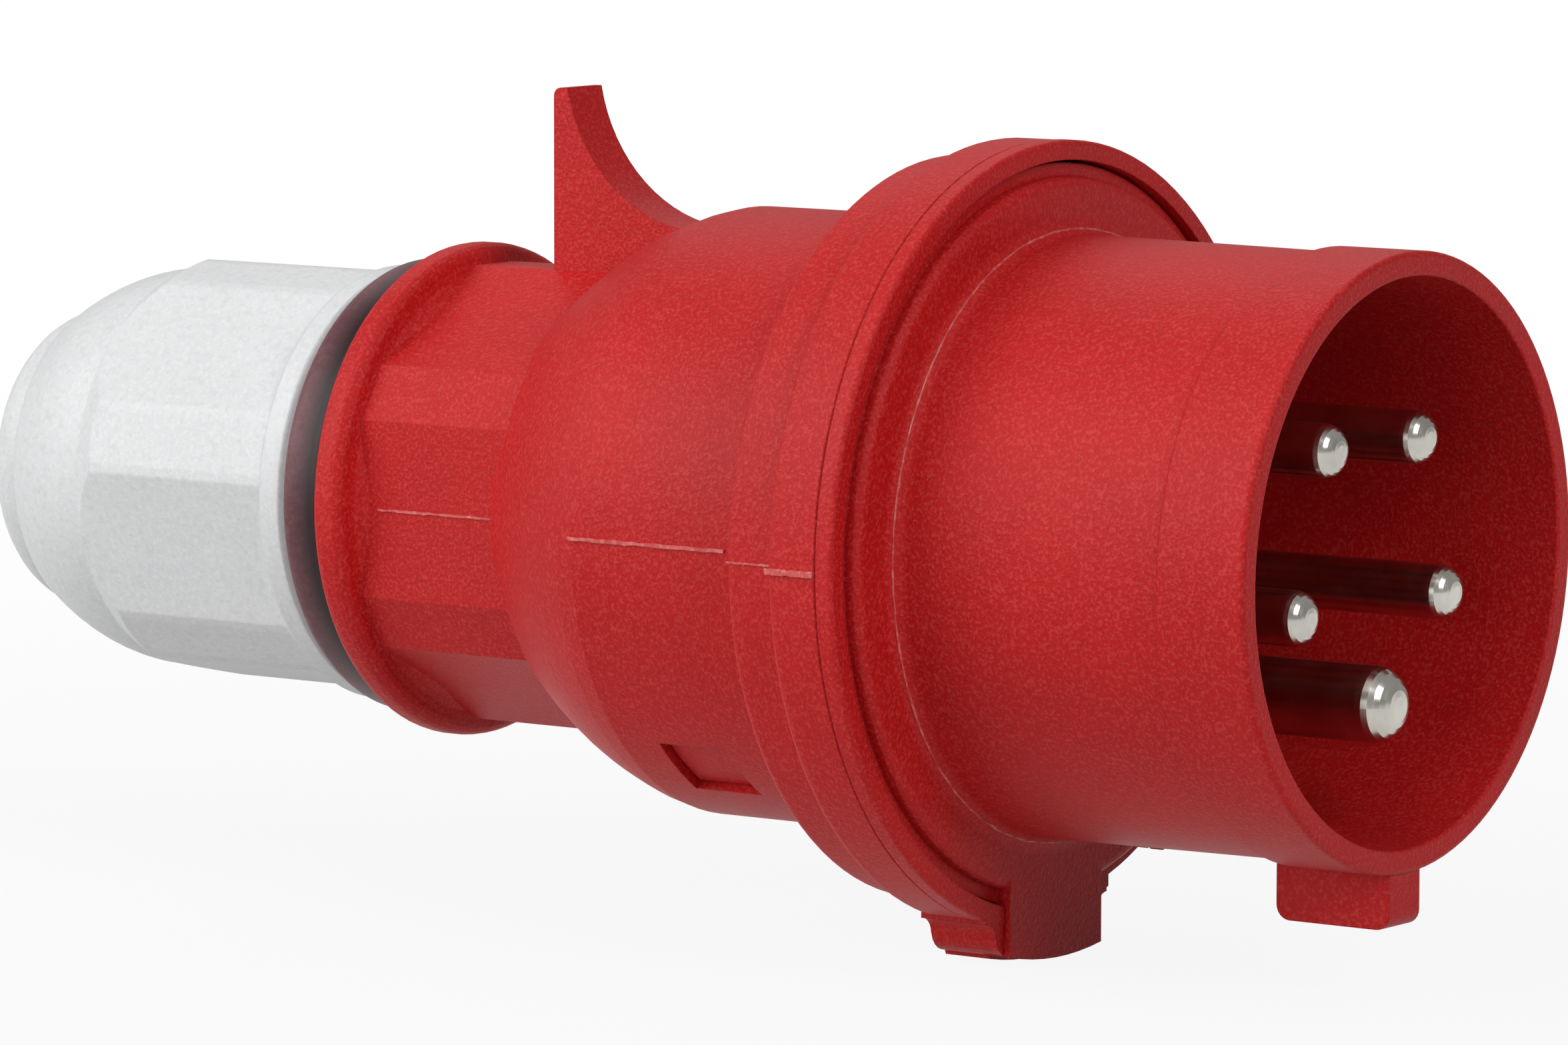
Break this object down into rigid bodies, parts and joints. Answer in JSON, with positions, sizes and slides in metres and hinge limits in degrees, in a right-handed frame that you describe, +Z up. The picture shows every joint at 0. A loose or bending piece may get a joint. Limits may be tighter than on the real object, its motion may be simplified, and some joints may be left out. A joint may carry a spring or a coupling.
{
  "type": "industrial pin and sleeve plug",
  "caption": "Industrial pin and sleeve plug with a keyed red sleeve, a latched rear housing with a pull fin, and a pale grey cable gland nut.",
  "frame": {"origin": "centre of the sleeve's rim, on the plug's axis", "axes": "+X out of the sleeve along the pins, +Z up through the fin, with the key and the earth pin at -Z"},
  "size_m": [0.155, 0.0724, 0.0783],
  "materials": {
    "red_plastic": "fine eroded texture",
    "grey_plastic": "satin",
    "dark_plastic": "satin",
    "dark_rubber": "matte",
    "nickel": "bright nickel plating over brass",
    "steel": "zinc plated"
  },
  "bodies": {
    "plug": {"front_housing": "red_plastic", "rear_housing": "red_plastic", "housing_gasket": "dark_rubber", "gland_ring": "dark_rubber", "clamp_cage": "grey_plastic", "cable_grommet": "dark_rubber", "pin_l1": "nickel", "pin_l2": "nickel", "pin_l3": "nickel", "pin_neutral": "nickel", "pin_earth": "nickel", "pin_retainer": "dark_plastic", "retainer_screws": "steel"},
    "gland_slide": {"slip_washer": "steel"},
    "gland_nut": {"gland_nut": "grey_plastic"},
    "terminal_screw_l1": {"screw_l1": "steel"},
    "terminal_screw_l2": {"screw_l2": "steel"},
    "terminal_screw_l3": {"screw_l3": "steel"},
    "terminal_screw_neutral": {"screw_neutral": "steel"},
    "terminal_screw_earth": {"screw_earth": "steel"}
  },
  "joints": [
    {"name": "gland_travel", "type": "slide", "parent": "plug", "child": "gland_slide", "axis": [-1, 0, 0], "range_m": [0, 0.01]},
    {"name": "gland_turn", "type": "hinge", "parent": "gland_slide", "child": "gland_nut", "pos_m": [-0.13, 0, 0], "axis": [-1, 0, 0], "range_deg": [0, 1800]},
    {"name": "screw_travel_l1", "type": "slide", "parent": "plug", "child": "terminal_screw_l1", "axis": [0, 0.9511, 0.309], "range_m": [0, 0.0028]},
    {"name": "screw_travel_l2", "type": "slide", "parent": "plug", "child": "terminal_screw_l2", "axis": [0, 0.5878, -0.809], "range_m": [0, 0.0028]},
    {"name": "screw_travel_l3", "type": "slide", "parent": "plug", "child": "terminal_screw_l3", "axis": [0, -0.5878, -0.809], "range_m": [0, 0.0028]},
    {"name": "screw_travel_neutral", "type": "slide", "parent": "plug", "child": "terminal_screw_neutral", "axis": [0, -0.9511, 0.309], "range_m": [0, 0.0028]},
    {"name": "screw_travel_earth", "type": "slide", "parent": "plug", "child": "terminal_screw_earth", "axis": [0, 0, 1], "range_m": [0, 0.0028]}
  ],
  "couplings": [
    {"joint": "gland_travel", "follows": "gland_turn", "m_per_rad": 0.00031831}
  ]
}
